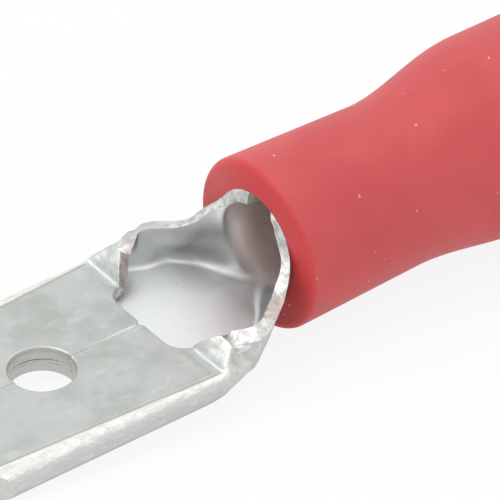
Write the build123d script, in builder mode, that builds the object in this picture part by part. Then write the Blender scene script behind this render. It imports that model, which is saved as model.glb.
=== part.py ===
from build123d import *
from math import sqrt
import os

os.makedirs("parts", exist_ok=True)

# Male spade terminal: one folded and rolled metal sheet, with a soft sleeve on its barrel.
# X runs from the tip of the tab to the wire entry, and Z is up. Sizes are in millimetres.
# The origin is the middle of the tip, halfway through the tab's thickness.

# Metal sheet
sheet = 0.385  # thickness
layer_gap = 0.03  # parting line between the tab's two layers
seam_gap = 0.04  # parting line where the two folded edges meet
fold_bend = 0.01  # inner radius of the pressed side folds

# Tab
tab_width = 6.3
straight_length = 7.0  # from the tip to where the sides start to draw in
crease_x = 7.66  # where the flaps start to open
tip_cut_length = 0.9  # corner cuts at the tip, along the tab
tip_cut_width = 1.1  # and across it
tip_bevel_length = 0.7
tip_bevel_height = 0.22
latch_hole_radius = 0.89
latch_hole_x = 4.05

# Flap ends, seen from above
flap_end_x = 7.2
flap_end_half = 1.02  # half width of the straight end of the two flaps
flap_corner_run = 0.16  # rounded corners at the seam
crease_inner_half = 1.56
shoulder_inner_half = 1.9
window_end_run = 1.15  # the shoulders' cut ends this far behind the crease
window_end_half = 2.36
window_slope = 0.12  # rise of the cut's underside over its run, which keeps it off the floor's bends

# Wire barrel
barrel_radius = 1.55  # outside
barrel_rise = 0.06  # lowest line of the barrel above the tab's lower face
barrel_length = 4.8
round_flat = 0.015  # the rolled sections keep flats of this half length
seam_mouth_half = 0.45  # half opening of the barrel seam at its mouth
seam_mouth_length = 1.7

# Open mouth between tab and barrel: distances behind the crease
shoulder_run = 0.4
lean_run = 0.95
wide_run = 1.3
neck_run = 1.85
throat_run = 2.4
mouth_length = 3.26

# How far the floor has drawn in from the tab's side at each section
crease_draw = 0.08
shoulder_draw = -0.02
lean_draw = 0.25
wide_draw = 0.5
neck_draw = 0.87
throat_draw = 1.13

# How far the wall tops stand outside (plus) or inside the floor's edge
shoulder_lean = -0.52
lean_lean = -0.18
wide_lean = 0.34
neck_lean = 0.62
throat_lean = 0.33

# Height of each section above the tab's lower face, at the walls and at the middle
shoulder_height = 1.46
shoulder_middle = 1.1
lean_height = 1.75
lean_middle = 1.38
wide_height = 2.2
wide_middle = 2.0
neck_height = 2.55
neck_middle = 2.45
throat_height = 2.9
throat_middle = 2.85

# Inner bend radii of each section, at the floor and at the top
shoulder_bend = 0.08
shoulder_top_bend = 0.01
lean_bend = 0.2
lean_top_bend = 0.1
wide_bend = 0.28
wide_top_bend = 0.3
neck_bend = 0.45
neck_top_bend = 0.5
throat_bend = 0.7
throat_top_bend = 0.75

# Rim of the mouth, seen from the side, above the tab's lower face
rim_front_height = 1.24
rim_rear_height = 1.41
rim_step_run = 1.25  # the rim's wave starts here behind the crease
rim_step_length = 0.6
rim_curve = 1.2  # radius of the sweep up to the barrel's mouth

# Sleeve
sleeve_clearance = 0.03
sleeve_length = 11.0
collar_radius = 2.395
collar_round = 0.2
collar_length = 4.3
waist_radius = 2.27
flare_length = 3.8
entry_radius = 2.82
entry_round = 0.15
entry_bore_radius = 2.15
bore_step_length = 2.2  # funnel from the barrel's bore to the wire entry
entry_lead = 0.12  # broken edge inside the wire entry

# Worked-out places
tab_thickness = 2 * sheet + layer_gap
tab_low = -tab_thickness / 2
tab_high = tab_thickness / 2
tab_half = tab_width / 2
barrel_axis_z = tab_low + barrel_rise + barrel_radius
barrel_inner_radius = barrel_radius - sheet
barrel_top = barrel_rise + 2 * barrel_radius
mouth_x = crease_x + mouth_length
barrel_end = mouth_x + barrel_length
above_all = 2 * barrel_top  # cuts from above start clear of the metal


# Half of a section of the folded sheet: floor, bend, wall, bend and flap, closed on the seam plane
def half_section(x, floor_half, top_half, height, middle, bend, top_bend, inset, rise=0):
    low = tab_low + rise + inset
    with BuildSketch(Plane.YZ.offset(x)) as section:
        with BuildLine():
            FilletPolyline(
                (0, low),
                (floor_half - inset, low),
                (top_half - inset, tab_low + height - inset),
                (0, tab_low + middle - inset),
                radius=[bend + sheet - inset, top_bend + sheet - inset],
            )
            Line((0, tab_low + middle - inset), (0, low))
        make_face()
    return section.sketch


# All sections of the open mouth, at the sheet's outer face (inset 0) or its inner face
def mouth_sections(inset):
    round_bend = barrel_inner_radius - round_flat
    shoulder_floor = tab_half - shoulder_draw
    lean_floor = tab_half - lean_draw
    wide_floor = tab_half - wide_draw
    neck_floor = tab_half - neck_draw
    throat_floor = tab_half - throat_draw
    return [
        half_section(crease_x, tab_half - crease_draw, tab_half - crease_draw,
                     tab_thickness, tab_thickness, fold_bend, fold_bend, inset),
        half_section(crease_x + shoulder_run, shoulder_floor, shoulder_floor + shoulder_lean,
                     shoulder_height, shoulder_middle, shoulder_bend, shoulder_top_bend, inset),
        half_section(crease_x + lean_run, lean_floor, lean_floor + lean_lean,
                     lean_height, lean_middle, lean_bend, lean_top_bend, inset),
        half_section(crease_x + wide_run, wide_floor, wide_floor + wide_lean,
                     wide_height, wide_middle, wide_bend, wide_top_bend, inset),
        half_section(crease_x + neck_run, neck_floor, neck_floor + neck_lean,
                     neck_height, neck_middle, neck_bend, neck_top_bend, inset),
        half_section(crease_x + throat_run, throat_floor, throat_floor + throat_lean,
                     throat_height, throat_middle, throat_bend, throat_top_bend, inset),
        half_section(mouth_x, barrel_radius, barrel_radius, barrel_top, barrel_top,
                     round_bend, round_bend, inset, rise=barrel_rise),
    ]


# Sections of the tab's own last stretch, where its sides draw in
def draw_sections(inset):
    return [
        half_section(x, tab_half - draw, tab_half - draw,
                     tab_thickness, tab_thickness, fold_bend, fold_bend, inset)
        for x, draw in (
            (straight_length, 0),
            ((straight_length + crease_x) / 2, crease_draw / 4),
            (crease_x, crease_draw),
        )
    ]


# Folded terminal: half of it is built on the +Y side and mirrored
with BuildPart() as blade_terminal:
    outer_draw = draw_sections(0)
    outer_mouth = mouth_sections(0)
    inner_draw = draw_sections(sheet)
    inner_mouth = mouth_sections(sheet)
    # Outer skin: straight tab, its end, the mouth and the barrel
    extrude(outer_draw[0], amount=straight_length, dir=(-1, 0, 0))
    loft(outer_draw)
    loft(outer_mouth[:2], ruled=True)
    loft(outer_mouth[1:])
    extrude(outer_mouth[-1], amount=barrel_length, dir=(1, 0, 0))
    # Inner skin, one sheet thickness inside
    extrude(inner_draw[0], amount=straight_length, dir=(-1, 0, 0), mode=Mode.SUBTRACT)
    loft(inner_draw, mode=Mode.SUBTRACT)
    loft(inner_mouth[:2], ruled=True, mode=Mode.SUBTRACT)
    loft(inner_mouth[1:], mode=Mode.SUBTRACT)
    extrude(inner_mouth[-1], amount=barrel_length, dir=(1, 0, 0), mode=Mode.SUBTRACT)
    mirror(about=Plane.XZ)

    # Window over the floor, seen from above: the flap ends and their rounded seam corners
    corner_start = (flap_end_x - flap_corner_run, seam_gap / 2)
    corner_end = (flap_end_x, seam_gap / 2 + flap_corner_run)
    with BuildSketch(Plane.XY):
        with BuildLine():
            Line((flap_end_x - flap_corner_run, 0), corner_start)
            TangentArc(corner_start, corner_end, tangent=(1, 0))
            Line(corner_end, (flap_end_x, flap_end_half))
            TangentArc((flap_end_x, flap_end_half), (crease_x, crease_inner_half), tangent=(0, 1))
            Polyline((crease_x, crease_inner_half), (crease_x, 0), (flap_end_x - flap_corner_run, 0))
        make_face()
        mirror(about=Plane.XZ)
    extrude(amount=above_all, mode=Mode.SUBTRACT)

    # The shoulders' cut edge, seen from above
    slope_factor = sqrt(1 + window_slope**2)
    window_plane = Plane((crease_x, 0, 0), x_dir=(1, 0, window_slope), z_dir=(-window_slope, 0, 1))
    with BuildSketch(window_plane):
        with BuildLine():
            Polyline(
                (0, 0),
                (0, crease_inner_half),
                (shoulder_run * slope_factor, shoulder_inner_half),
                (window_end_run * slope_factor, window_end_half),
                (window_end_run * slope_factor, 0),
                close=True,
            )
        make_face()
        mirror(about=Plane.XZ)
    extrude(amount=above_all, dir=(0, 0, 1), mode=Mode.SUBTRACT)

    # Rim of the mouth, seen from the side
    rim_start = (crease_x, tab_low + rim_front_height)
    wave_start = (crease_x + rim_step_run, tab_low + rim_front_height)
    wave_end = (crease_x + rim_step_run + rim_step_length, tab_low + rim_rear_height)
    rim_turn = (mouth_x - rim_curve, tab_low + rim_rear_height)
    rim_top = (mouth_x, tab_low + rim_rear_height + rim_curve)
    with BuildSketch(Plane.XZ):
        with BuildLine():
            Line(rim_start, wave_start)
            Spline(wave_start, wave_end, tangents=[(1, 0), (1, 0)])
            Line(wave_end, rim_turn)
            TangentArc(rim_turn, rim_top, tangent=(1, 0))
            Polyline(rim_top, (mouth_x, above_all), (crease_x, above_all), rim_start)
        make_face()
    extrude(amount=tab_half, both=True, mode=Mode.SUBTRACT)

    # Seam along the tab, and the barrel's seam that closes behind its mouth
    with BuildSketch(Plane.XY):
        with Locations((flap_end_x / 2, 0)):
            Rectangle(flap_end_x, seam_gap)
    extrude(amount=tab_thickness, mode=Mode.SUBTRACT)
    with BuildSketch(Plane.XY.offset(barrel_axis_z)):
        with BuildLine():
            Polyline(
                (mouth_x - round_flat, -seam_mouth_half),
                (mouth_x + seam_mouth_length, -seam_gap / 2),
                (barrel_end, -seam_gap / 2),
                (barrel_end, seam_gap / 2),
                (mouth_x + seam_mouth_length, seam_gap / 2),
                (mouth_x - round_flat, seam_mouth_half),
                close=True,
            )
        make_face()
    extrude(amount=above_all, mode=Mode.SUBTRACT)

    # Latch hole through both layers
    with Locations((latch_hole_x, 0, 0)):
        Hole(latch_hole_radius)

    # Corner cuts and bevels at the tip
    with BuildSketch(Plane.XY.offset(tab_low)):
        for side in (-1, 1):
            with BuildLine():
                Polyline(
                    (0, side * (tab_half - tip_cut_width)),
                    (0, side * tab_half),
                    (tip_cut_length, side * tab_half),
                    close=True,
                )
            make_face()
    extrude(amount=tab_thickness, mode=Mode.SUBTRACT)
    with BuildSketch(Plane.XZ):
        for side in (-1, 1):
            with BuildLine():
                Polyline(
                    (0, side * (tab_high - tip_bevel_height)),
                    (0, side * tab_high),
                    (tip_bevel_length, side * tab_high),
                    close=True,
                )
            make_face()
    extrude(amount=tab_half, both=True, mode=Mode.SUBTRACT)

blade_terminal.part.label = "blade_terminal"
export_step(blade_terminal.part, "parts/blade_terminal.step")

# Sleeve: one turned profile about the barrel's axis
sleeve_start = mouth_x
sleeve_end = sleeve_start + sleeve_length
grip_radius = barrel_radius + sleeve_clearance
waist_x = sleeve_start + collar_length
flare_end = waist_x + flare_length
collar_slope = (waist_radius - collar_radius) / collar_length
entry_outside = (sleeve_end, barrel_axis_z + entry_radius)
entry_inside = (sleeve_end, barrel_axis_z + entry_bore_radius)
sleeve_axis = Axis((0, 0, barrel_axis_z), (1, 0, 0))

with BuildPart() as insulating_sleeve:
    with BuildSketch(Plane.XZ) as profile:
        with BuildLine():
            outside = [
                (sleeve_start, barrel_axis_z + grip_radius),
                (sleeve_start, barrel_axis_z + collar_radius),
                (waist_x, barrel_axis_z + waist_radius),
            ]
            Polyline(outside)
            Spline(
                outside[-1],
                (flare_end, barrel_axis_z + entry_radius),
                tangents=[(1, collar_slope), (1, 0)],
            )
            Polyline(
                (flare_end, barrel_axis_z + entry_radius),
                entry_outside,
                entry_inside,
                (barrel_end + bore_step_length, barrel_axis_z + entry_bore_radius),
                (barrel_end, barrel_axis_z + grip_radius),
                (sleeve_start, barrel_axis_z + grip_radius),
            )
        make_face()
        corners = profile.vertices()
        fillet(corners.sort_by_distance(outside[1])[0], collar_round)
        fillet(corners.sort_by_distance(entry_outside)[0], entry_round)
        fillet(corners.sort_by_distance(entry_inside)[0], entry_lead)
    revolve(axis=sleeve_axis)

insulating_sleeve.part.label = "insulating_sleeve"
export_step(insulating_sleeve.part, "parts/insulating_sleeve.step")
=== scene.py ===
import math
import bmesh
import bpy
from mathutils import Matrix, Vector


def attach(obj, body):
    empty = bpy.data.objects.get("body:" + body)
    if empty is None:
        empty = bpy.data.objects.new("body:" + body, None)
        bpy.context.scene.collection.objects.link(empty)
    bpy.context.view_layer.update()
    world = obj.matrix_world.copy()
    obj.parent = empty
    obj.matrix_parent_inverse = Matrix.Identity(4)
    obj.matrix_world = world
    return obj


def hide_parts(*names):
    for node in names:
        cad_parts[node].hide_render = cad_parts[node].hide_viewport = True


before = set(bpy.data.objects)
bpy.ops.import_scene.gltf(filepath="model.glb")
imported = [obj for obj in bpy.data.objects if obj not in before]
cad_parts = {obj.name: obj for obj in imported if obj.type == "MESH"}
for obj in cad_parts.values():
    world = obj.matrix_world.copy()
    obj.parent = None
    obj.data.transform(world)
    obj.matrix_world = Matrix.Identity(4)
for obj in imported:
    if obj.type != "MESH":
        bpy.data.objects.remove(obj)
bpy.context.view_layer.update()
mm = 0.001  # pieces are shaped in millimetres and scaled at the end
tiny = 0.001  # slack between places that are compared


# a socket that can be added, multiplied and so on
class Value:
    def __init__(self, sheet, socket):
        self.sheet = sheet
        self.socket = socket

    def maths(self, operation, first, second):
        return self.sheet.add("Math", {0: first, 1: second}, operation=operation)

    def __add__(self, other):
        return self.maths("ADD", self, other)

    def __radd__(self, other):
        return self.maths("ADD", other, self)

    def __sub__(self, other):
        return self.maths("SUBTRACT", self, other)

    def __rsub__(self, other):
        return self.maths("SUBTRACT", other, self)

    def __mul__(self, other):
        return self.maths("MULTIPLY", self, other)

    def __rmul__(self, other):
        return self.maths("MULTIPLY", other, self)

    def __abs__(self):
        return self.maths("ABSOLUTE", self, 0)


class Sheet:  # the nodes of a material or of the world
    def __init__(self, owner):
        owner.use_nodes = True
        self.tree = owner.node_tree
        self.tree.nodes.clear()

    def add(self, kind, inputs=None, output=0, **settings):
        node = self.tree.nodes.new("ShaderNode" + kind)
        for name, value in settings.items():
            setattr(node, name, value)
        for name, value in (inputs or {}).items():
            if isinstance(value, Value):
                self.tree.links.new(value.socket, node.inputs[name])
            else:
                node.inputs[name].default_value = value
        return Value(self, node.outputs[output]) if node.outputs else node

    def seenRays(self):  # 1 for what the camera and the reflections see
        camera = self.add("LightPath", output="Is Camera Ray")
        glossy = self.add("LightPath", output="Is Glossy Ray")
        return camera.maths("MAXIMUM", camera, glossy)


class Finish(Sheet):  # one procedural material
    def __init__(self, name):
        self.material = bpy.data.materials.new(name)
        super().__init__(self.material)
        self.place = self.add("TexCoord", output="Object")

    def along(self, axis):  # place on the part along one axis, in metres
        return self.add("SeparateXYZ", {"Vector": self.place}, axis)

    def noise(self, scale, detail=2.0, roughness=0.5, stretch=(1, 1, 1)):
        place = self.add("VectorMath", {0: self.place, 1: stretch}, operation="MULTIPLY")
        return self.add("TexNoise", {
            "Vector": place, "Scale": scale, "Detail": detail, "Roughness": roughness,
        })

    def band(self, value, low, high):  # 0 below low, 1 above high, smooth between
        return self.add(
            "MapRange", {"Value": value, "From Min": low, "From Max": high},
            interpolation_type="SMOOTHSTEP",
        )

    def past(self, value, start, end):  # the same for a place, with limits in millimetres
        return self.band(value, start * mm, end * mm)

    def within(self, value, start, end, fadeIn, fadeOut):  # 1 between two places
        return self.past(value, start, start + fadeIn) * (1 - self.past(value, end - fadeOut, end))

    def blend(self, factor, first, second):
        inputs = {0: factor}
        for index, colour in ((6, first), (7, second)):
            inputs[index] = colour if isinstance(colour, Value) else (*colour, 1)
        return self.add("Mix", inputs, 2, data_type="RGBA")

    def bump(self, height, strength, distance, under=None):
        inputs = {"Height": height, "Strength": strength, "Distance": distance}
        if under:
            inputs["Normal"] = under
        return self.add("Bump", inputs)

    def close(self, surface):
        self.add("OutputMaterial", {"Surface": surface})
        return self.material


def smooth(value):
    value = min(max(value, 0.0), 1.0)
    return value * value * (3 - 2 * value)


def mix(first, second, share):
    return first + (second - first) * share


def window(value, start, end, fadeIn, fadeOut):  # 1 between start and end, with soft ends
    return smooth((value - start) / fadeIn) * smooth((end - value) / fadeOut)


def makePiece(name, bm, materials, sharpAngle=30):
    bmesh.ops.scale(bm, vec=(mm, mm, mm), verts=bm.verts)
    mesh = bpy.data.meshes.new(name)
    bm.to_mesh(mesh)
    bm.free()
    for material in materials:
        mesh.materials.append(material)
    mesh.polygons.foreach_set("use_smooth", [True] * len(mesh.polygons))
    mesh.set_sharp_from_angle(angle=math.radians(sharpAngle))
    piece = bpy.data.objects.new(name, mesh)
    bpy.context.scene.collection.objects.link(piece)
    return piece


# Tin plated sheet, outside. In all finishes places are in millimetres, a Size counts noise
# cells in a metre, a Depth is in metres, and a Share or a Bump is a strength from 0 to 1.
tin = {
    "colour": (0.575, 0.598, 0.579),
    "patchColour": (0.475, 0.5, 0.475),
    "patchSize": 900,
    "patchBand": (0.32, 0.62),
    "streakColour": (0.68, 0.695, 0.67),
    "streakSize": 2400,
    "streakStretch": (0.5, 1, 1),
    "streakBand": (0.52, 0.72),
    "streakShare": 0.6,
    "sideHighlight": (0.92, 0.905, 0.84),  # side folds: painted highlight, brightest at the top
    "sideGrey": (0.64, 0.645, 0.64),
    "sideShade": (0.36, 0.36, 0.41),
    "sideShadeSpan": (-0.29, -0.05),  # heights of the painted shade low on the side folds
    "sideShadeShare": 0.85,
    "sideHighlightSpan": (0.22, 0.4),
    "sideHighlightShare": 0.6,
    "sideBand": (0.15, 1.15),
    "sideStart": 2.43,  # a faint line parts them from the flat top: half width at the tip
    "sideWiden": 0.055,  # and how much it widens along the tab
    "sideFade": 0.1,
    "mottleSize": 6500,
    "mottleStretch": (0.4, 1, 1),
    "mottleBand": (0.36, 0.64),
    "mottleShare": 0.5,
    "mottleBump": 0.5,
    "mottleDepth": 0.000025,
    "lineColour": (0.42, 0.4, 0.37),
    "lineWidth": 0.06,
    "lineSpan": (7.47, 7.62),  # it fades here
    "lineShare": 0.55,
    "lineBump": 0.5,
    "lineDepth": 0.00002,
    "glintSpan": (5.2, 6.9),  # the seam's edges start to shine here
    "glintHalf": (0.02, 0.05),
    "glintShare": 0.8,
    "highlightColour": (0.95, 0.97, 0.98),  # painted highlight on the crease, with a painted shade triangle in front of it
    "creaseX": 7.66,
    "creaseWidth": 0.05,
    "creaseShare": 0.9,
    "creaseHeight": (0.1, 0.2),  # only above this
    "creaseReach": (1.55, 3.0, 0.2, 0.25),  # half widths at its ends, and their fades
    "creaseShadeColour": (0.53, 0.57, 0.58),
    "creaseShadePoint": (7.2, 2.25),
    "creaseShadeSpread": 0.5,
    "creaseShadeFade": 0.12,
    "creaseShadeEdge": 0.03,
    "creaseShadeShare": 0.85,
    "hammerColour": (0.78, 0.78, 0.745),  # the drawn shoulders are rough
    "hammerSpan": (7.4, 9.6, 0.4, 0.8),
    "hammerHalf": (1.5, 1.8),
    "hammerSize": 2600,
    "hammerBand": (0.4, 0.66),
    "hammerShare": 0.75,
    "hammerBump": 0.6,
    "hammerDepth": 0.00006,
    "speckColour": (0.25, 0.24, 0.22),
    "speckSize": 4600,
    "speckBand": (0.735, 0.78),
    "speckShare": 0.6,
    "waveSize": 1400,
    "waveBump": 0.35,
    "waveDepth": 0.00003,
    "grainSize": 9000,
    "grainBump": 0.4,
    "grainDepth": 0.00001,
    "roughness": 0.38,
    "roughPatches": 0.1,
    "roughGrain": 0.06,
}


def tinFinish():
    f = Finish("tinPlate")
    along, across, up = f.along("X"), f.along("Y"), f.along("Z")
    half = abs(across)
    patches = f.noise(tin["patchSize"], detail=5, roughness=0.6)
    grain = f.noise(tin["grainSize"], detail=3, roughness=0.6)
    streaks = f.noise(tin["streakSize"], detail=5, roughness=0.7, stretch=tin["streakStretch"])
    streaks = f.band(streaks, *tin["streakBand"])
    colour = f.blend(f.band(patches, *tin["patchBand"]), tin["patchColour"], tin["colour"])
    colour = f.blend(streaks * tin["streakShare"], colour, tin["streakColour"])
    # side folds behind a faint line: painted highlight at their top with a mottled texture,
    # painted shade low down
    fromLine = half - along * tin["sideWiden"] - tin["sideStart"] * mm
    side = f.past(fromLine, 0, tin["sideFade"])
    mottled = f.noise(tin["mottleSize"], detail=5, roughness=0.75, stretch=tin["mottleStretch"])
    mottled = f.band(mottled, *tin["mottleBand"])
    # painted highlight, lighter towards the top of the side folds
    height = f.past(up, *tin["sideHighlightSpan"])
    bright = height * tin["sideHighlightShare"] + mottled * tin["mottleShare"]
    folds = f.blend(f.band(bright, *tin["sideBand"]), tin["sideGrey"], tin["sideHighlight"])
    # painted shade towards the bottom of the side folds
    low = 1 - f.past(up, *tin["sideShadeSpan"])
    folds = f.blend(low * tin["sideShadeShare"], folds, tin["sideShade"])
    colour = f.blend(side, colour, folds)
    line = 1 - f.past(abs(fromLine), 0, tin["lineWidth"])
    line = line * (1 - f.past(along, *tin["lineSpan"]))
    colour = f.blend(line * tin["lineShare"], colour, tin["lineColour"])
    # the seam's edges shine towards the flaps' ends
    glint = f.past(along, *tin["glintSpan"]) * (1 - f.past(half, *tin["glintHalf"]))
    colour = f.blend(glint * tin["glintShare"], colour, tin["highlightColour"])
    # creases: a painted highlight on each, with a painted shade triangle in front of it
    inReach = f.within(half, *tin["creaseReach"]) * f.past(up, *tin["creaseHeight"])
    pointX, pointY = tin["creaseShadePoint"]
    front = along - abs(half - pointY * mm) * tin["creaseShadeSpread"] - pointX * mm
    creaseShade = f.past(front, 0, tin["creaseShadeFade"])
    creaseShade = creaseShade * (1 - f.past(along, tin["creaseX"] - tin["creaseShadeEdge"], tin["creaseX"])) * inReach
    colour = f.blend(creaseShade * tin["creaseShadeShare"], colour, tin["creaseShadeColour"])
    crease = 1 - f.past(abs(along - tin["creaseX"] * mm), 0, tin["creaseWidth"])
    colour = f.blend(crease * inReach * tin["creaseShare"], colour, tin["highlightColour"])
    # drawn shoulders
    drawn = f.within(along, *tin["hammerSpan"]) * f.past(half, *tin["hammerHalf"])
    knocks = f.noise(tin["hammerSize"], detail=3, roughness=0.6)
    beaten = drawn * f.band(knocks, *tin["hammerBand"])
    colour = f.blend(beaten * tin["hammerShare"], colour, tin["hammerColour"])
    specks = f.band(f.noise(tin["speckSize"]), *tin["speckBand"])
    colour = f.blend(specks * tin["speckShare"], colour, tin["speckColour"])
    normal = f.bump(f.noise(tin["waveSize"]), tin["waveBump"], tin["waveDepth"])
    normal = f.bump(grain, tin["grainBump"], tin["grainDepth"], normal)
    normal = f.bump(knocks * drawn, tin["hammerBump"], tin["hammerDepth"], normal)
    normal = f.bump(mottled * side, tin["mottleBump"], tin["mottleDepth"], normal)
    normal = f.bump(1 - line, tin["lineBump"], tin["lineDepth"], normal)
    return f.close(f.add("BsdfPrincipled", {
        "Base Color": colour,
        "Metallic": 1.0,
        "Roughness": tin["roughness"] + patches * tin["roughPatches"] + grain * tin["roughGrain"],
        "Normal": normal,
    }))


# the sheet's inner face, smoother; its colours carry painted light on the floor and in the barrel,
# and painted shade where it turns into the barrel
lining = {
    # painted light: the floor is lighter than the walls
    "floorLitColour": (0.85, 0.875, 0.885),
    "wallColour": (0.56, 0.58, 0.575),
    "wallSpan": (-0.015, 0.07),  # heights where the floor turns into the walls
    "turnShadeColour": (0.36, 0.36, 0.355),  # painted shade where it turns into the barrel
    "turnTopLitColour": (0.8, 0.79, 0.78),  # and lighter towards its top, with less painted shade
    "turnTopSpan": (0.8, 1.5),
    "turnSpan": (9.3, 10.4),
    "footShadeColour": (0.24, 0.24, 0.24),  # painted shade where the far wall's foot runs into the barrel
    "footHeight": (-0.05, 0.6, 0.1, 0.3),  # start, end and the fades at them
    "footSpan": (9.2, 10.95, 0.9, 0.3),
    "footSide": (0.2, 0.6),
    "footShadeShare": 0.75,
    "deepColour": (0.95, 0.9, 0.87),  # painted light inside the barrel
    "barrelLightSpan": (10.85, 11.3),
    "speckShare": 0.5,
    "bump": 0.3,
    "roughness": 0.36,
    "roughPatches": 0.14,
}


def liningFinish():
    f = Finish("tinLining")
    along, across, up = f.along("X"), f.along("Y"), f.along("Z")
    patches = f.noise(tin["patchSize"], detail=5, roughness=0.6)
    # painted shade where the walls turn into the barrel, lighter towards the top
    top = f.past(up, *lining["turnTopSpan"])
    turned = f.blend(top, lining["turnShadeColour"], lining["turnTopLitColour"])
    walls = f.blend(f.past(along, *lining["turnSpan"]), lining["wallColour"], turned)
    colour = f.blend(f.past(up, *lining["wallSpan"]), lining["floorLitColour"], walls)
    # painted shade at the far wall's foot
    foot = f.within(up, *lining["footHeight"]) * f.past(across, *lining["footSide"])
    foot = foot * f.within(along, *lining["footSpan"])
    colour = f.blend(foot * lining["footShadeShare"], colour, lining["footShadeColour"])
    # painted light inside the barrel
    colour = f.blend(f.past(along, *lining["barrelLightSpan"]), colour, lining["deepColour"])
    specks = f.band(f.noise(tin["speckSize"]), *tin["speckBand"])
    colour = f.blend(specks * lining["speckShare"], colour, tin["speckColour"])
    normal = f.bump(f.noise(tin["waveSize"]), lining["bump"], tin["waveDepth"])
    grain = f.noise(tin["grainSize"], detail=3, roughness=0.6)
    normal = f.bump(grain, lining["bump"], tin["grainDepth"], normal)
    return f.close(f.add("BsdfPrincipled", {
        "Base Color": colour,
        "Metallic": 1.0,
        "Roughness": lining["roughness"] + patches * lining["roughPatches"],
        "Normal": normal,
    }))


# the sheet's cut edges
edge = {
    "colour": (0.76, 0.76, 0.74),
    "darkColour": (0.5, 0.5, 0.48),
    "spotBand": (0.38, 0.6),
    "calmSpan": (6.6, 7.4),  # the tab's own edges are calmer than the mouth's
    "calmShare": 0.75,
    "calmLevel": 0.6,
    "holeShadeColour": (0.56, 0.54, 0.52),  # painted shade on the cut edges in the latch hole
    "holeSpan": (3.0, 5.2, 0.1, 0.1),
    "holeShadeShare": 0.7,
    "rolledShadeColour": (0.6, 0.59, 0.61),  # a stretch of the far rim is rolled smooth, with a painted duller purple-grey shade
    "rolledSpan": (8.75, 9.9, 0.2, 0.4),
    "rolledSide": (0.0, 1.0),
    "rolledShare": 0.85,
    "facetHighlightColour": (0.99, 0.98, 0.96),  # painted highlight on the cut at the far peak
    "facetSpan": (7.85, 8.6, 0.2, 0.2),
    "facetSide": (1.2, 1.6),
    "facetHighlightShare": 0.9,
    "grainSize": 5200,
    "grainBump": 0.8,
    "grainDepth": 0.00005,
    "roughness": 0.42,
    "roughSpots": 0.1,
}


def edgeFinish():
    f = Finish("cutEdge")
    along, across = f.along("X"), f.along("Y")
    grain = f.noise(edge["grainSize"], detail=4, roughness=0.65)
    spots = f.band(grain, *edge["spotBand"])
    calm = (1 - f.past(along, *edge["calmSpan"])) * edge["calmShare"]
    spots = spots + (edge["calmLevel"] - spots) * calm
    colour = f.blend(spots, edge["darkColour"], edge["colour"])
    # smooth rolled stretch, its purple-grey tone painted shade
    rolled = f.within(along, *edge["rolledSpan"]) * f.past(across, *edge["rolledSide"])
    colour = f.blend(rolled * edge["rolledShare"], colour, edge["rolledShadeColour"])
    # painted highlight on the cut at the far peak
    facet = f.within(along, *edge["facetSpan"]) * f.past(across, *edge["facetSide"])
    colour = f.blend(facet * edge["facetHighlightShare"], colour, edge["facetHighlightColour"])
    # painted shade on the cut edges in the latch hole
    inHole = f.within(along, *edge["holeSpan"])
    colour = f.blend(inHole * edge["holeShadeShare"], colour, edge["holeShadeColour"])
    return f.close(f.add("BsdfPrincipled", {
        "Base Color": colour,
        "Metallic": 1.0,
        "Roughness": edge["roughness"] + spots * edge["roughSpots"],
        "Normal": f.bump(grain * (1 - rolled), edge["grainBump"], edge["grainDepth"]),
    }))


# soft red vinyl
vinyl = {
    "colour": (0.62, 0.085, 0.088),
    "deepColour": (0.56, 0.068, 0.072),
    "patchSize": 420,
    "patchBand": (0.3, 0.7),
    "patchBump": 0.3,
    "patchDepth": 0.00005,
    "frontShadeColour": (0.6, 0.045, 0.048),  # painted shade: the front face is deeper red on its near half
    "frontSpan": (10.95, 11.1),
    "frontSide": (0.3, 2.0),
    "dustColour": (0.9, 0.6, 0.58),
    "dustSize": 5200,
    "dustBand": (0.83, 0.86),
    "dustShare": 0.5,
    "grainSize": 7000,
    "grainBump": 0.35,
    "grainDepth": 0.000012,
    "roughness": 0.46,
    "roughGrain": 0.12,
    "gloss": 0.45,
    "glow": 0.12,  # light that goes through the soft wall
    "glowRadius": (1.0, 0.25, 0.2),
    "glowDepth": 0.0006,
}


def vinylFinish():
    f = Finish("softVinyl")
    patches = f.noise(vinyl["patchSize"], detail=4, roughness=0.55)
    grain = f.noise(vinyl["grainSize"], detail=3, roughness=0.6)
    colour = f.blend(f.band(patches, *vinyl["patchBand"]), vinyl["deepColour"], vinyl["colour"])
    # painted shade on the front face's near half
    front = 1 - f.past(f.along("X"), *vinyl["frontSpan"])
    front = front * (1 - f.past(f.along("Y"), *vinyl["frontSide"]))
    colour = f.blend(front, colour, vinyl["frontShadeColour"])
    dust = f.band(f.noise(vinyl["dustSize"], detail=0), *vinyl["dustBand"])
    colour = f.blend(dust * vinyl["dustShare"], colour, vinyl["dustColour"])
    normal = f.bump(patches, vinyl["patchBump"], vinyl["patchDepth"])
    normal = f.bump(grain, vinyl["grainBump"], vinyl["grainDepth"], normal)
    return f.close(f.add("BsdfPrincipled", {
        "Base Color": colour,
        "Roughness": vinyl["roughness"] + grain * vinyl["roughGrain"],
        "Subsurface Weight": vinyl["glow"],
        "Subsurface Radius": vinyl["glowRadius"],
        "Subsurface Scale": vinyl["glowDepth"],
        "Specular IOR Level": vinyl["gloss"],
        "Normal": normal,
    }))


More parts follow.
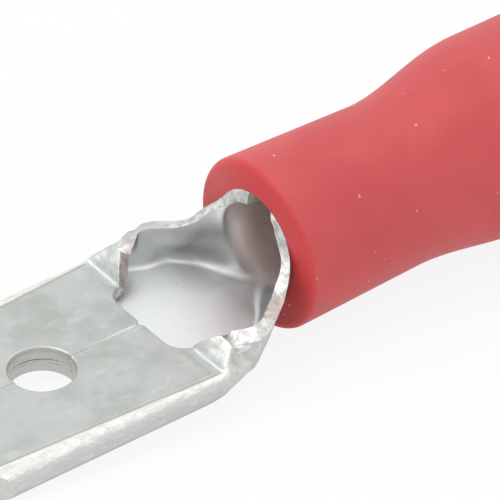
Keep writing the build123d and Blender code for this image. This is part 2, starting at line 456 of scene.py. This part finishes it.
# The folded terminal, from one flat blank. A span is a start, an end and the soft runs at them.
blank = {
    "sheet": 0.385,
    "tabThick": 0.8,
    "tabHalf": 3.15,
    "tabLow": -0.4,  # lower face of the tab
    "seamHalf": 0.005,
    "flapEndX": 7.2,
    "flapEndHalf": 1.02,
    "flapCorner": 0.16,
    "creaseX": 7.66,
    "creaseInner": 1.56,  # half width between the flaps' cut edges, here and at the peak
    "peakX": 8.13,  # end of the slanted faces behind the crease
    "peakInner": 2.15,
    "slant": 1.13,  # rise of the slanted faces over their run
    "slantSoft": 0.15,  # their inner faces turn up over this much on both sides of the crease
    "creaseDip": 0.06,  # the tab's top sinks this far in front of the slanted faces
    "creaseDipEnd": 0.1,  # and is level again this far behind the crease
    "creaseDipSpan": (1.1, 3.0, 0.6, 0.3),  # across the tab
    "leastBend": 0.012,
    "footLow": 0.015,  # height of the walls' middle line on the inner face: in the tab,
    "footHigh": 0.25,  # in the mouth
    "footStart": 7.85,  # and where it changes
    "footRun": 0.4,
    "farBulge": 0.42,  # the far wall's foot stands out this much more than the near one's
    "farBulgeSpan": (8.8, 10.92, 0.9, 0.7),
    "farTuck": 0.22,  # its top behind the peak leans in this much more
    "farTuckSpan": (8.1, 9.3, 0.25, 0.5),
    "farTuckTurn": 0.55,  # share of its top's cells up to the rim's old place
    "farTuckStart": 0.5,
    "nearDrop": 0.21,  # the near rim's cut is turned up: lower outside, higher inside
    "nearDropSpan": (8.13, 9.0, 0.14, 0.8),
    "nearRise": 0.08,
    "nearRiseSpan": (8.2, 10.2, 0.3, 0.6),
    "innerRimBack": 9.1,  # the inner rim lies further back than the outer one up to here
    "innerRimTurn": 8.6,  # up to here it is found by its width, behind it by its height
    "innerRimSlack": 0.02,
    "mouthX": 10.92,
    "barrelRadius": 1.55,
    "barrelRise": 0.06,
    "riseStart": 10.06,
    "seamMouthHalf": 0.45,
    "seamMouthLength": 1.7,
    "seamDrift": 0.15,  # the seam's opening lies this far to the near side
    "mouthThin": 0.15,  # the inner face opens this much at the mouth
    "mouthThinStart": 10.0,
    "mouthThinLength": 1.0,  # behind the mouth
    "mouthThinLow": 0.35,  # share of it at the floor
    "mouthThinRim": 0.6,  # and at the rim
    "mouthThinRimStart": 0.75,
    "nearThin": 0.22,  # the near seam edge is this much thinner at the mouth
    "nearThinLength": 1.2,
    "mouthSlant": 0.08,  # the barrel's front edge leans this far towards the tip inside
    "mouthSlantStart": 10.5,
    "mouthSlantLength": 0.5,  # behind the mouth
    "tipCutLength": 0.9,
    "tipCutWidth": 1.1,
    "tipStretch": 1.3,  # the corner cuts shift the blank up to this far from the tip
    "tipBevelLength": 0.7,
    "tipBevelHeight": 0.22,
    "brimTab": 1.07,  # how far the columns under the rim lie beyond the walls' middle: at the tab
    "brimPeak": 0.66,
    "brimMouth": 1.13,
    "brimTurn": 9.5,  # from here on it grows again
    "wallCells": 47,  # across half the blank, up to the middle of the wall
    "brimCells": 62,  # up to just under the rim
    "innerCells": 80,  # up to the mouth's rim
    "outerCells": 14,  # and from there to the seam
    "innerPull": 0.62,  # share of the inner face's columns that stay on their sections
    "edgeRound": 0.03,
    "seamRound": 0.008,
    "holeRound": 0.055,
    "layerRound": 0.012,  # the two layers' inner edges in the hole
    "layerHeight": 0.1,  # which lie within this of the tab's middle
    "edgeNear": 0.05,  # edges this near the hole or the seam are rounded as theirs
    "seamRoundEnd": 7.0,  # short of the flaps' ends
    "sharpAngle": 50,
}
# where rows of the blank's cells start and how many lie up to the next place
rows = [
    (0.0, 72), (7.2, 12), (7.66, 14), (8.13, 3), (8.2, 44), (10.4, 22), (10.92, 34), (15.72, 0),
]
hole = {
    "x": 4.05,
    "radius": 0.89,
    "cellsAlong": 8,  # half size of the opening in the blank's cells
    "cellsAcross": 10,
    "reach": 1.8,  # cells up to this many half sizes away make room for it
}
# distance from the tip, half width of the floor and of the wall tops, heights of wall tops
# and middle, outer bends at floor and top
sections = [
    (0.0, 3.15, 3.15, 0.8, 0.8, 0.395, 0.395),
    (7.0, 3.15, 3.15, 0.8, 0.8, 0.395, 0.395),
    (7.33, 3.13, 3.13, 0.82, 0.8, 0.395, 0.36),
    (7.66, 3.08, 3.08, 0.86, 0.8, 0.395, 0.29),
    (8.13, 3.16, 2.67, 1.23, 1.72, 0.465, 0.22),
    (8.61, 2.9, 2.72, 1.75, 1.5, 0.585, 0.485),
    (8.96, 2.6, 2.99, 2.2, 2.0, 0.56, 0.685),
    (9.51, 2.16, 2.9, 2.55, 2.45, 0.62, 0.885),
    (10.06, 1.84, 2.3, 2.92, 2.88, 0.88, 1.15),
    (10.45, 1.65, 1.84, 3.08, 3.07, 1.24, 1.35),
    (10.75, 1.57, 1.61, 3.145, 3.145, 1.45, 1.49),
    (10.92, 1.55, 1.55, 3.16, 3.16, 1.535, 1.535),
]
# the mouth's cut edge on the outer and inner face: distance from the tip, half width, height
# above the tab's lower face
outerRim = [
    (8.2, 2.42, 1.32), (8.4, 2.54, 1.31), (8.6, 2.68, 1.28), (8.8, 2.79, 1.24),
    (8.96, 2.84, 1.24), (9.17, 2.8, 1.31), (9.4, 2.7, 1.38), (9.65, 2.55, 1.41),
    (9.92, 2.34, 1.41), (10.17, 2.16, 1.44), (10.34, 2.02, 1.54), (10.48, 1.92, 1.69),
    (10.6, 1.82, 1.85), (10.72, 1.69, 1.99), (10.81, 1.56, 2.14), (10.88, 1.4, 2.33),
    (10.92, 1.184, 2.61),
]
innerRim = [
    (8.41, 2.09, 1.13), (8.5, 2.14, 1.2), (8.67, 2.26, 1.25), (8.83, 2.38, 1.3),
    (8.99, 2.48, 1.37), (9.23, 2.43, 1.42), (9.48, 2.26, 1.43), (9.73, 2.06, 1.44),
    (9.93, 1.92, 1.48), (10.13, 1.76, 1.56), (10.29, 1.64, 1.67), (10.43, 1.55, 1.8),
    (10.56, 1.44, 1.93), (10.7, 1.27, 2.06), (10.78, 1.08, 2.19), (10.84, 0.89, 2.36),
]


def curveSlopes(table, column):  # slope of one value at each row, without overshoot
    steps = [(v[column] - u[column]) / (v[0] - u[0]) for u, v in zip(table, table[1:])]
    result = [steps[0]]
    for before, after in zip(steps, steps[1:]):
        same = before * after > 0
        result.append(2 * before * after / (before + after) if same else 0.0)
    return result + [steps[-1]]


def curveAt(table, slopes, x):  # the values of a row between the table's rows
    k = max([i for i in range(len(table) - 1) if table[i][0] <= x] or [0])
    run = table[k + 1][0] - table[k][0]
    t = min(max((x - table[k][0]) / run, 0), 1)
    values = []
    for column, slope in enumerate(slopes, 1):
        v0, v1 = table[k][column], table[k + 1][column]
        m0, m1 = slope[k] * run, slope[k + 1] * run
        values.append(
            v0 * (2 * t**3 - 3 * t**2 + 1) + m0 * (t**3 - 2 * t**2 + t)
            + v1 * (3 * t**2 - 2 * t**3) + m1 * (t**3 - t**2)
        )
    return values


tabSections = [row for row in sections if row[0] <= blank["creaseX"]]
mouthSections = [row for row in sections if row[0] >= blank["peakX"]]
tabSlopes = [curveSlopes(tabSections, column) for column in range(1, 7)]
mouthSlopes = [curveSlopes(mouthSections, column) for column in range(1, 7)]
outerSlopes = [curveSlopes(outerRim, column) for column in (1, 2)]
innerSlopes = [curveSlopes(innerRim, column) for column in (1, 2)]


def sectionAt(x):
    if x <= blank["creaseX"]:
        return curveAt(tabSections, tabSlopes, x)
    if x >= blank["peakX"]:
        return curveAt(mouthSections, mouthSlopes, min(x, blank["mouthX"]))
    share = (x - blank["creaseX"]) / (blank["peakX"] - blank["creaseX"])
    return [mix(u, v, share) for u, v in zip(tabSections[-1][1:], mouthSections[0][1:])]


def slantHeight(x):  # height of the slanted faces
    return blank["tabThick"] + blank["slant"] * (x - blank["creaseX"])


def filletPoints(before, corner, after, radius, steps=32):
    toBefore = (before - corner).normalized()
    toAfter = (after - corner).normalized()
    half = toBefore.angle(toAfter) / 2
    centre = corner + (toBefore + toAfter).normalized() * (radius / math.sin(half))
    start = corner + toBefore * (radius / math.tan(half))
    first = (start - centre) / radius
    sweep = math.pi - 2 * half
    points = []
    for step in range(steps + 1):
        angle = sweep * step / steps
        points.append(centre + radius * Vector((
            first.x * math.cos(angle) - first.y * math.sin(angle),
            first.x * math.sin(angle) + first.y * math.cos(angle),
        )))
    return points


# one face of half a section, as points (across, up) with their distances along it
def outlineAt(x, inset):
    floorHalf, topHalf, height, middle, bend, topBend = sectionAt(x)
    rise = blank["barrelRise"] * smooth(
        (x - blank["riseStart"]) / (blank["mouthX"] - blank["riseStart"])
    )
    if inset:
        lid = slantHeight(x) - inset * math.hypot(1, blank["slant"])
        lid = max(blank["tabThick"] - inset, lid)
        height, middle = min(height - inset, lid), min(middle - inset, lid)
        topBend = max(topBend - inset, blank["leastBend"])
        bend = max(bend - inset, blank["leastBend"])
    low = blank["tabLow"]
    corners = [
        Vector((0, low + rise + inset)),
        Vector((floorHalf - inset, low + rise + inset)),
        Vector((topHalf - inset, low + height)),
        Vector((0, low + middle)),
    ]
    points = [corners[0]]
    points += filletPoints(corners[0], corners[1], corners[2], bend)
    points += filletPoints(corners[1], corners[2], corners[3], topBend)
    points.append(corners[3])
    lengths = [0.0]
    for before, after in zip(points, points[1:]):
        lengths.append(lengths[-1] + (after - before).length)
    return points, lengths


def pointAlong(outline, distance):
    points, lengths = outline
    low, high = 0, len(lengths) - 1
    while high - low > 1:
        half = (low + high) // 2
        if lengths[half] <= distance:
            low = half
        else:
            high = half
    step = lengths[high] - lengths[low]
    return points[low].lerp(points[high], (distance - lengths[low]) / step if step else 0)


def distanceWhere(outline, reached, backwards=False):  # where along an outline a test first holds
    points, lengths = outline
    order = range(len(points))
    if backwards:
        order = reversed(order)
    last = None
    for k in order:
        if reached(points[k]):
            if last is None:
                return lengths[k]
            near, far = lengths[last], lengths[k]
            for _ in range(16):
                half = (near + far) / 2
                if reached(pointAlong(outline, half)):
                    far = half
                else:
                    near = half
            return far
        last = k
    return lengths[last]


def distanceAcross(outline, width):  # the same for a half width, seen from above
    return distanceWhere(outline, lambda p: p.x >= width, backwards=True)


def distanceUp(outline, height):
    return distanceWhere(outline, lambda p: p.y >= height)


def flapEdge(x):  # half width between the flaps' cut edges, seen from above
    run = blank["creaseX"] - blank["flapEndX"]
    width = blank["creaseInner"] - blank["flapEndHalf"]
    radius = (run**2 + width**2) / (2 * run)
    if x < blank["creaseX"]:
        back = x - blank["flapEndX"] - radius
        return blank["flapEndHalf"] + math.sqrt(max(radius**2 - back**2, 0))
    share = (x - blank["creaseX"]) / (blank["peakX"] - blank["creaseX"])
    return mix(blank["creaseInner"], blank["peakInner"], share)


# where on a section's outline the middle of its wall lies
def wallLine(x, inset, outline):
    up = -blank["tabLow"]
    if inset:
        share = smooth((x - blank["footStart"]) / blank["footRun"])
        up = mix(blank["footLow"], blank["footHigh"], share)
    return distanceUp(outline, outline[0][0].y + up)


def brimRun(x):  # how far beyond the wall's middle the columns under the rim run
    toPeak = (x - blank["flapEndX"]) / (blank["peakX"] - blank["flapEndX"])
    toMouth = (x - blank["brimTurn"]) / (blank["mouthX"] - blank["brimTurn"])
    front = mix(blank["brimTab"], blank["brimPeak"], smooth(toPeak))
    return mix(front, blank["brimMouth"], smooth(toMouth))


# slanted faces: on the inner face the rim stands one sheet's thickness under the outer one
def slantLines(x, inset, outline):
    rim = distanceAcross(outline, flapEdge(x))
    if not inset:
        return outline, rim, rim, None
    tilt = math.atan(blank["slant"])
    soft = blank["slantSoft"]
    lean = smooth((x - blank["creaseX"] + soft) / (2 * soft))
    level = blank["tabThick"] - inset
    up = mix(level, max(level, slantHeight(x) - inset * math.cos(tilt) * lean), lean)
    return outline, rim, rim, (inset * math.sin(tilt) * lean, flapEdge(x), blank["tabLow"] + up)


def rimLines(x, inset, outline):
    low, peak = blank["tabLow"], blank["peakX"]
    if not inset:
        across, up = curveAt(outerRim, outerSlopes, x)
        rim = distanceUp(outline, low + up)
        first = outerRim[0][0]
        if x < first:
            share = smooth((x - peak) / (first - peak))
            across = mix(blank["peakInner"], across, share)
            up = mix(slantHeight(peak), up, share)
        return outline, rim, rim, (0, across, low + up)
    shift = (innerRim[0][0] - peak) * max(1 - (x - peak) / (blank["innerRimBack"] - peak), 0)
    start = blank["mouthSlantStart"]
    shift -= blank["mouthSlant"] * smooth((x - start) / (blank["mouthX"] - start))
    across, up = curveAt(innerRim, innerSlopes, x + shift)
    if x < blank["innerRimTurn"]:
        rim = distanceAcross(outline, across)
    else:
        rim = distanceUp(outline, low + up - blank["innerRimSlack"])
    return outline, rim, rim, (shift, across, low + up)


def barrelLines(x, inset, outline):
    radius = blank["barrelRadius"]
    axis = blank["tabLow"] + blank["barrelRise"] + radius
    lift = (outerRim[-1][2] - blank["barrelRise"] - radius) / radius
    rim = distanceUp(outline, axis + (radius - inset) * lift)
    share = min((x - blank["mouthX"]) / blank["seamMouthLength"], 1)
    opening = mix(blank["seamMouthHalf"], blank["seamHalf"], share)
    return outline, rim, distanceAcross(outline, opening), None


# a section's outline, and where on it the columns of the rim and of the seam lie; the last
# value is the rim's true place (shift along the part, across, up), if that isn't on the outline
def linesAt(x, inset):
    outline = outlineAt(x, inset)
    if x <= blank["flapEndX"]:
        rim = distanceAcross(outline, blank["flapEndHalf"])
        return outline, rim, outline[1][-1] - blank["seamHalf"], None
    if x < blank["peakX"] + tiny:
        return slantLines(x, inset, outline)
    if x < blank["mouthX"] - tiny:
        return rimLines(x, inset, outline)
    return barrelLines(x, inset, outline)


def stationList():
    stations = []
    for (start, count), (end, _) in zip(rows, rows[1:]):
        stations += [start + (end - start) * k / count for k in range(count)]
    return stations + [rows[-1][0]]


# how far along its section a column of the blank lies, counted from the floor's middle
def columnDistance(x, j, side, inset, lines):
    outline, rimLine, seamLine, _ = lines
    wallColumn, brimColumn, rimColumn = blank["wallCells"], blank["brimCells"], blank["innerCells"]
    wall = wallLine(x, inset, outline)
    if j <= wallColumn:
        return wall * j / wallColumn
    if j <= rimColumn and inset:
        return mix(wall, rimLine, (j - wallColumn) / (rimColumn - wallColumn))
    brim = wall + brimRun(x)
    if j <= brimColumn:
        return mix(wall, brim, (j - wallColumn) / (brimColumn - wallColumn))
    if j <= rimColumn:
        return mix(brim, rimLine, (j - brimColumn) / (rimColumn - brimColumn))
    share = (j - rimColumn) / blank["outerCells"]
    distance = mix(rimLine, seamLine, share)
    if x >= blank["mouthX"]:
        fade = max(1 - (x - blank["mouthX"]) / blank["seamMouthLength"], 0)
        distance += side * blank["seamDrift"] * share * fade
    return distance


# the tab's own last changes: corner cuts, flap corners, latch hole and the tip's bevels
def tabPlace(x, y, z, i, j, holeRow):
    rimColumn, lastColumn = blank["innerCells"], blank["innerCells"] + blank["outerCells"]
    fromFold = blank["tabHalf"] - blank["tipCutWidth"]
    cut = max(y - fromFold, 0) / blank["tipCutWidth"] * blank["tipCutLength"]
    x += cut * max(1 - x / blank["tipStretch"], 0)
    corner, seam = blank["flapCorner"], blank["seamHalf"]
    if j > rimColumn and y < corner + seam:
        back = corner - math.sqrt(max(corner**2 - (corner + seam - y)**2, 0))
        x -= back * max(1 - (blank["flapEndX"] - x) / (3 * corner), 0)**2
    onTop = j > lastColumn / 2
    cellsAcross = (lastColumn - j if onTop else j) / hole["cellsAcross"]
    cellsAlong = (i - holeRow) / hole["cellsAlong"]
    ring = max(abs(cellsAlong), cellsAcross)
    if 0.99 < ring < hole["reach"]:  # from the hole's edge outwards
        share = smooth((ring - 1) / (hole["reach"] - 1))
        way = Vector((cellsAlong, cellsAcross)).normalized() * hole["radius"] * ring
        x = mix(hole["x"] + way.x, x, share)
        y = mix(max(way.y, seam if onTop else 0), y, share)
    if x < blank["tipBevelLength"]:
        limit = -blank["tabLow"] - blank["tipBevelHeight"] * (1 - x / blank["tipBevelLength"])
        z = min(max(z, -limit), limit)
    return x, y, z


# where a point of the folded blank lies, with both sides of the part alike
def foldedPlace(i, j, side, inset, stations, lines, holeRow):
    rimColumn = blank["innerCells"]
    outline, rimLine, _, rimPlace = lines
    x = stations[i]
    point = pointAlong(outline, columnDistance(x, j, side, inset, lines))
    y, z = point.x, point.y
    if rimPlace:
        end = pointAlong(outline, rimLine)
        firstColumn = blank["innerPull"] * rimColumn if inset else blank["brimCells"]
        pull = smooth((j - firstColumn) / (rimColumn - firstColumn))
        x += rimPlace[0] * pull
        y += (rimPlace[1] - end.x) * pull
        z += (rimPlace[2] - end.y) * pull
    mouth, start = blank["mouthX"], blank["mouthThinStart"]
    axis = blank["tabLow"] + blank["barrelRise"] + blank["barrelRadius"]
    if inset and x > start:  # the inner face meets the barrel in a soft bend
        thin = blank["mouthThin"] * smooth((x - start) / (mouth - start))
        thin *= min(max(1 - (x - mouth) / blank["mouthThinLength"], 0), 1)**2
        away = Vector((y, z - axis)).normalized()
        first = blank["mouthThinRimStart"]
        atRim = mix(1, blank["mouthThinRim"], smooth((j / rimColumn - first) / (1 - first)))
        away *= thin * mix(blank["mouthThinLow"], 1, away.x**2) * atRim
        y, z = y + away.x, z + away.y
    if inset and side < 0 and stations[i] >= mouth:  # the near seam edge runs out thinner
        thin = blank["nearThin"] * smooth((j - rimColumn) / blank["outerCells"])
        thin *= max(1 - (x - mouth) / blank["nearThinLength"], 0)
        away = Vector((y, z - axis)).normalized() * thin
        y, z = y + away.x, z + away.y
    if inset and stations[i] >= mouth:
        first = blank["innerPull"]
        pull = smooth((j / rimColumn - first) / (1 - first))
        x -= blank["mouthSlant"] * max(1 - (x - mouth) / blank["mouthSlantLength"], 0) * pull
    flapEnd, crease = blank["flapEndX"], blank["creaseX"]
    levelAgain = crease + blank["creaseDipEnd"]
    if not inset and blank["wallCells"] < j and flapEnd < x < levelAgain:
        dip = smooth((x - flapEnd) / (crease - flapEnd))
        dip *= min((levelAgain - x) / blank["creaseDipEnd"], 1)
        z -= blank["creaseDip"] * dip * window(y, *blank["creaseDipSpan"])
    if stations[i] <= flapEnd:
        x, y, z = tabPlace(x, y, z, i, j, holeRow)
    return x, y, z


def cellOf(place, along):  # row and column of a place on the flat blank
    return (place.x + 1) / 2 * along, place.y * (blank["innerCells"] + blank["outerCells"])


def cutBlank(along, holeRow, flapRow, mouthRow):  # a sheet one cell thick, with its openings
    rimColumn, lastColumn = blank["innerCells"], blank["innerCells"] + blank["outerCells"]
    bm = bmesh.new()
    bmesh.ops.create_grid(bm, x_segments=along, y_segments=2 * lastColumn, size=1)
    waste = []
    for face in bm.faces:
        i, j = cellOf(face.calc_center_median(), along)
        j = abs(j)
        behindFlaps = flapRow < i < mouthRow and j > rimColumn
        inHole = abs(i - holeRow) < hole["cellsAlong"]
        inHole = inHole and (j < hole["cellsAcross"] or j > lastColumn - hole["cellsAcross"])
        if behindFlaps or inHole:
            waste.append(face)
    bmesh.ops.delete(bm, geom=waste, context="FACES")
    thick = bmesh.ops.extrude_face_region(bm, geom=bm.faces[:], use_keep_orig=True)
    lower = [part for part in thick["geom"] if isinstance(part, bmesh.types.BMVert)]
    bmesh.ops.translate(bm, verts=lower, vec=(0, 0, -1))
    for face in bm.faces:  # outer face, cut edges and inner face
        level = face.calc_center_median().z
        face.material_index = 0 if level > -0.1 else 2 if level < -0.9 else 1
    return bm


def roundEdges(bm):
    groups = {"edgeRound": [], "seamRound": [], "holeRound": [], "layerRound": []}
    for line in bm.edges:
        cutSides = [face.material_index == 1 for face in line.link_faces]
        if len(cutSides) != 2 or cutSides[0] == cutSides[1]:
            continue
        middle = (line.verts[0].co + line.verts[1].co) / 2
        fromHole = math.hypot(middle.x - hole["x"], middle.y) - hole["radius"]
        name = "edgeRound"
        if abs(fromHole) < blank["edgeNear"]:
            name = "layerRound" if abs(middle.z) < blank["layerHeight"] else "holeRound"
        elif abs(middle.y) < blank["edgeNear"] and middle.x < blank["seamRoundEnd"]:
            name = "seamRound"
        groups[name].append(line)
    for name, lines in groups.items():
        bmesh.ops.bevel(
            bm, geom=[line for line in lines if line.is_valid], offset=blank[name],
            offset_type="OFFSET", segments=2, profile=0.5, affect="EDGES", material=-1,
            clamp_overlap=True,
        )


def makeTerminal():
    stations = stationList()
    along = len(stations) - 1
    holeRow = round(hole["x"] / stations[1])
    bm = cutBlank(
        along, holeRow, stations.index(blank["flapEndX"]), stations.index(blank["mouthX"]),
    )
    print("blank cut:", len(bm.faces), "cells")

    # fold it: each point goes to its place on its section
    outerLines = [linesAt(x, 0) for x in stations]
    innerLines = [linesAt(x, blank["sheet"]) for x in stations]
    brimColumn, rimColumn = blank["brimCells"], blank["innerCells"]
    for vertex in bm.verts:
        i, j = (round(v) for v in cellOf(vertex.co, along))
        side = -1 if j < 0 else 1
        j = abs(j)
        inset = blank["sheet"] if vertex.co.z < -0.5 else 0
        lines = innerLines[i] if inset else outerLines[i]
        inBrim = brimColumn < j <= rimColumn
        share = (j - brimColumn) / (rimColumn - brimColumn)
        column, tuck = j, 0
        if side > 0 and not inset and inBrim:
            tucked = window(stations[i], *blank["farTuckSpan"])
            early = brimColumn + min(share / blank["farTuckTurn"], 1) * (rimColumn - brimColumn)
            column = mix(j, early, tucked)
            start = blank["farTuckStart"]
            tuck = blank["farTuck"] * tucked * smooth((share - start) / (1 - start))
        x, y, z = foldedPlace(i, column, side, inset, stations, lines, holeRow)
        y -= tuck
        if side < 0 and inBrim and inset:
            z += blank["nearRise"] * smooth(share) * window(x, *blank["nearRiseSpan"])
        elif side < 0 and inBrim:
            z -= blank["nearDrop"] * smooth(share) * window(x, *blank["nearDropSpan"])
        if side > 0 and 0 < j < rimColumn:
            bulge = blank["farBulge"] * window(x, *blank["farBulgeSpan"])
            y += bulge * math.sin(math.pi * j / rimColumn)**2
        vertex.co = (x, side * y, z)
    bmesh.ops.recalc_face_normals(bm, faces=bm.faces)
    roundEdges(bm)
    bmesh.ops.recalc_face_normals(bm, faces=bm.faces)
    materials = [tinFinish(), edgeFinish(), liningFinish()]
    piece = makePiece("spadeBlade", bm, materials, blank["sharpAngle"])
    print("terminal folded:", len(piece.data.polygons), "faces")
    return piece


# the sleeve, turned about the barrel's axis
sleeve = {
    "axisZ": 1.21,
    "front": 10.92,
    "end": 21.92,
    "frontRadius": 2.395,
    "frontRound": 0.2,
    "gripRadius": 1.56,
    "waistX": 15.2,
    "waistRadius": 2.265,
    "flareEndX": 18.95,
    "flareRadius": 2.75,
    "flareShift": 0.137,  # the soft flare sits this far off the axis
    "flareSteps": 30,
    "entryRound": 0.15,
    "entryBore": 2.1,
    "boreStepX": 15.72,
    "boreStepLength": 2.2,
    "turns": 144,
    "pitch": 0.12,  # spacing of the profile's points
    "weld": 0.0005,
    "sharpAngle": 60,
}


def roundCorner(centre, radius, start, end, steps=8):
    points = []
    for k in range(steps + 1):
        angle = math.radians(mix(start, end, k / steps))
        points.append((centre[0] + radius * math.cos(angle), centre[1] + radius * math.sin(angle)))
    return points


def fill(points):  # adds points along the long runs
    result = [points[0]]
    for (x0, r0), (x1, r1) in zip(points, points[1:]):
        count = max(1, round(math.hypot(x1 - x0, r1 - r0) / sleeve["pitch"]))
        result += [(mix(x0, x1, k / count), mix(r0, r1, k / count)) for k in range(1, count + 1)]
    return result


def sleeveProfile():  # points (along, from the axis) once around the wall
    front, end = sleeve["front"], sleeve["end"]
    bevel, lip = sleeve["frontRound"], sleeve["entryRound"]
    profile = [(front, sleeve["gripRadius"])]
    profile += roundCorner((front + bevel, sleeve["frontRadius"] - bevel), bevel, 180, 90)
    profile.append((sleeve["waistX"], sleeve["waistRadius"]))
    for k in range(1, sleeve["flareSteps"] + 1):
        share = k / sleeve["flareSteps"]
        x = mix(sleeve["waistX"], sleeve["flareEndX"], share)
        profile.append((x, mix(sleeve["waistRadius"], sleeve["flareRadius"], smooth(share))))
    profile += roundCorner((end - lip, sleeve["flareRadius"] - lip), lip, 90, 0)
    profile += roundCorner((end - lip, sleeve["entryBore"] + lip), lip, 0, -90)
    profile.append((sleeve["boreStepX"] + sleeve["boreStepLength"], sleeve["entryBore"]))
    profile.append((sleeve["boreStepX"], sleeve["gripRadius"]))
    profile.append((front, sleeve["gripRadius"]))
    return fill(profile)[:-1]


def makeSleeve():
    bm = bmesh.new()
    line = [bm.verts.new((x, 0, radius)) for x, radius in sleeveProfile()]
    edges = [bm.edges.new(pair) for pair in zip(line, line[1:] + line[:1])]
    bmesh.ops.spin(
        bm, geom=line + edges, cent=(0, 0, 0), axis=(1, 0, 0), dvec=(0, 0, 0),
        angle=2 * math.pi, steps=sleeve["turns"], use_merge=True,
    )
    bmesh.ops.remove_doubles(bm, verts=bm.verts, dist=sleeve["weld"])
    waist, flareEnd = sleeve["waistX"], sleeve["flareEndX"]
    for vertex in bm.verts:
        vertex.co.y += sleeve["flareShift"] * smooth((vertex.co.x - waist) / (flareEnd - waist))
        vertex.co.z += sleeve["axisZ"]
    bmesh.ops.recalc_face_normals(bm, faces=bm.faces)
    piece = makePiece("vinylSleeve", bm, [vinylFinish()], sleeve["sharpAngle"])
    print("sleeve turned:", len(piece.data.polygons), "faces")
    return piece


blade = makeTerminal()
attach(blade, "root")
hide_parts("blade_terminal")
cover = makeSleeve()
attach(cover, "root")
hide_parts("insulating_sleeve")


# floor that the part rests on, at the tip and under the sleeve's front
floorPlan = {
    "tip": (0.7, -0.4),  # the two lines that touch it, as distance from the tip and height
    "collar": (11.12, -1.185),
    "size": 0.5,  # in metres
    "colour": (0.86, 0.86, 0.86),
    "glow": 0.88,  # share of plain white that the camera sees
}


def makeFloor():
    bm = bmesh.new()
    bmesh.ops.create_grid(bm, x_segments=1, y_segments=1, size=floorPlan["size"] / mm)
    (x0, z0), (x1, z1) = floorPlan["tip"], floorPlan["collar"]
    tilt = math.atan2(z0 - z1, x1 - x0)
    bmesh.ops.rotate(bm, verts=bm.verts, cent=(0, 0, 0), matrix=Matrix.Rotation(tilt, 3, "Y"))
    bmesh.ops.translate(bm, verts=bm.verts, vec=(x1, 0, z1))
    f = Finish("whiteFloor")
    diffuse = f.add("BsdfDiffuse", {"Color": (*floorPlan["colour"], 1)})
    glow = f.add("Emission", {"Color": (1, 1, 1, 1), "Strength": 1.0})
    share = f.seenRays() * floorPlan["glow"]
    surface = f.add("MixShader", {0: share, 1: diffuse, 2: glow})
    piece = makePiece("floor", bm, [f.close(surface)])
    print("floor laid")


makeFloor()


# light and camera
studio = {
    "room": 0.87,  # brightness of the room around the part, plain white to the camera
    # name, place seen from the part in degrees (around, up), distance, size, watts
    "lamps": [
        ("key", (150, 60), 0.35, 0.24, 0.36),
        ("top", (0, 65), 0.4, 0.2, 0.1),
    ],
}
view = {
    "target": (11.0, 0.0, 0.0),
    "azimuth": -38.105,
    "elevation": 37.814,
    "roll": 0.832,
    "distance": 192.526,
    "shift": (0.2, -0.796),
    "lens": 533.45,
    "sensor": 36,
    "clip": (0.01, 10),
}


def direction(around, up):
    a, e = math.radians(around), math.radians(up)
    return Vector((math.cos(a) * math.cos(e), math.sin(a) * math.cos(e), math.sin(e)))


def lightScene():
    centre = Vector(view["target"]) * mm
    for name, (around, up), distance, size, watts in studio["lamps"]:
        lamp = bpy.data.lights.new(name, "AREA")
        lamp.shape = "DISK"
        lamp.size = size
        lamp.energy = watts
        holder = bpy.data.objects.new(name, lamp)
        way = direction(around, up)
        holder.location = centre + way * distance
        holder.rotation_euler = way.to_track_quat("Z", "Y").to_euler()
        bpy.context.scene.collection.objects.link(holder)
    world = bpy.data.worlds.new("studio")
    sheet = Sheet(world)
    room = sheet.add("Background", {"Color": (1, 1, 1, 1), "Strength": studio["room"]})
    white = sheet.add("Background", {"Color": (1, 1, 1, 1), "Strength": 1.0})
    chosen = sheet.add("MixShader", {0: sheet.seenRays(), 1: room, 2: white})
    sheet.add("OutputWorld", {"Surface": chosen})
    bpy.context.scene.world = world


def placeCamera():
    a, e = math.radians(view["azimuth"]), math.radians(view["elevation"])
    right = Vector((math.cos(a), math.sin(a), 0))
    back = Vector((math.sin(a) * math.cos(e), -math.cos(a) * math.cos(e), math.sin(e)))
    turn = Matrix.Rotation(math.radians(-view["roll"]), 3, "Z")
    axes = (turn @ Matrix((right, back.cross(right), back))).transposed()
    place = Vector(view["target"]) - axes @ Vector((*view["shift"], -view["distance"]))
    lens = bpy.data.cameras.new("camera")
    lens.lens = view["lens"]
    lens.sensor_width = view["sensor"]
    lens.clip_start, lens.clip_end = view["clip"]
    camera = bpy.data.objects.new("camera", lens)
    camera.matrix_world = Matrix.Translation(place * mm) @ axes.to_4x4()
    bpy.context.scene.collection.objects.link(camera)
    bpy.context.scene.camera = camera


lightScene()
placeCamera()
bpy.context.scene.view_settings.view_transform = "Standard"
print("light and camera set")
